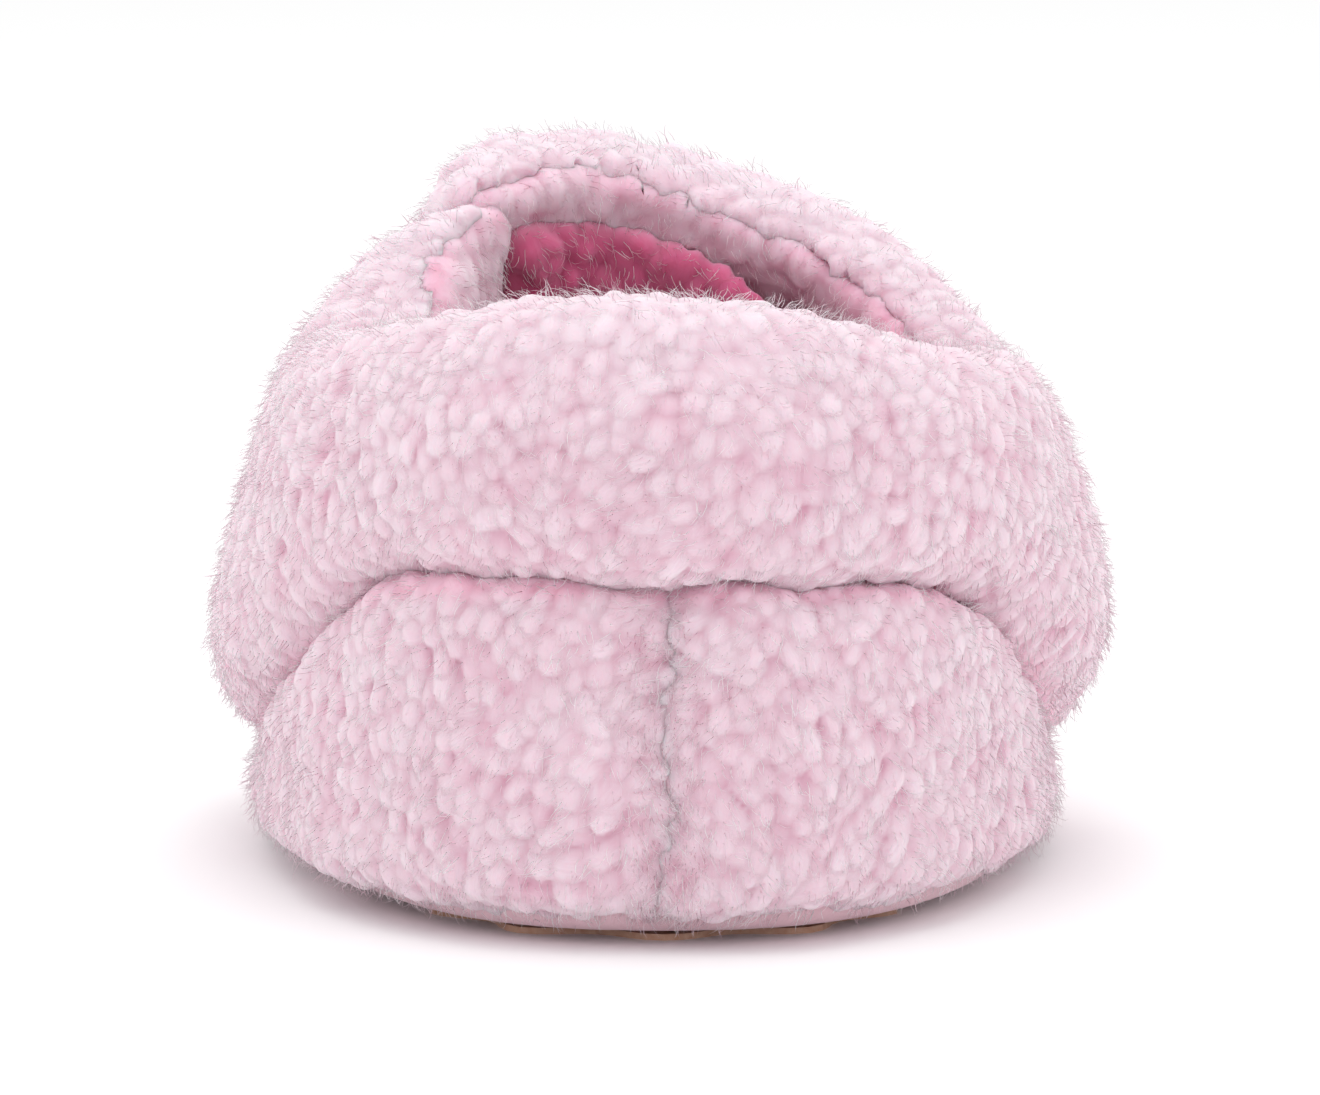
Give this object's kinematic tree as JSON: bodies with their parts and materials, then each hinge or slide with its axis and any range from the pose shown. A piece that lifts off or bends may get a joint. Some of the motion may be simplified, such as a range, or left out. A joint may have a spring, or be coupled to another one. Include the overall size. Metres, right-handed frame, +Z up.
{
  "type": "slipper bootie",
  "caption": "Infant's soft-soled slipper bootie of plush fleece, with a padded ankle collar, a wrap flap on hook-and-loop tape and a suede sole.",
  "frame": {"origin": "on the floor under the middle of the bootie", "axes": "+Z up; +Y from the toe to the heel; +X towards the inner side of the foot"},
  "size_m": [0.0918, 0.135, 0.0724],
  "materials": {
    "fleece": "pale pink curly sherpa pile",
    "lining": "deeper pink sherpa pile",
    "suede": "brushed pink suede",
    "grip": "matt tan printed grip",
    "padding": "white foam and wadding",
    "tape": "matt woven tape",
    "thread": "polyester thread"
  },
  "bodies": {
    "bootie": {"outsole": "suede", "heel_grip_pad": "grip", "toe_grip_pad": "grip", "foam_insole": "padding", "fleece_sock": "lining", "sole_seam_thread": "thread", "quarter_lining": "lining", "toe_lining": "lining", "tongue": "lining", "heel_cup_medial": "fleece", "heel_cup_lateral": "fleece", "back_seam_tape": "tape", "vamp": "fleece", "collar_wadding": "padding", "heel_elastic": "tape", "ankle_collar": "fleece", "loop_patch": "tape"},
    "flap": {"closure_flap": "fleece", "flap_lining": "lining", "hook_patch": "tape"}
  },
  "joints": [
    {"name": "flap_hinge", "type": "hinge", "parent": "bootie", "child": "flap", "pos_m": [0.02665, -0.00805, 0.0516], "axis": [-0.1631, 0.7323, 0.6612], "range_deg": [0, 100]}
  ]
}
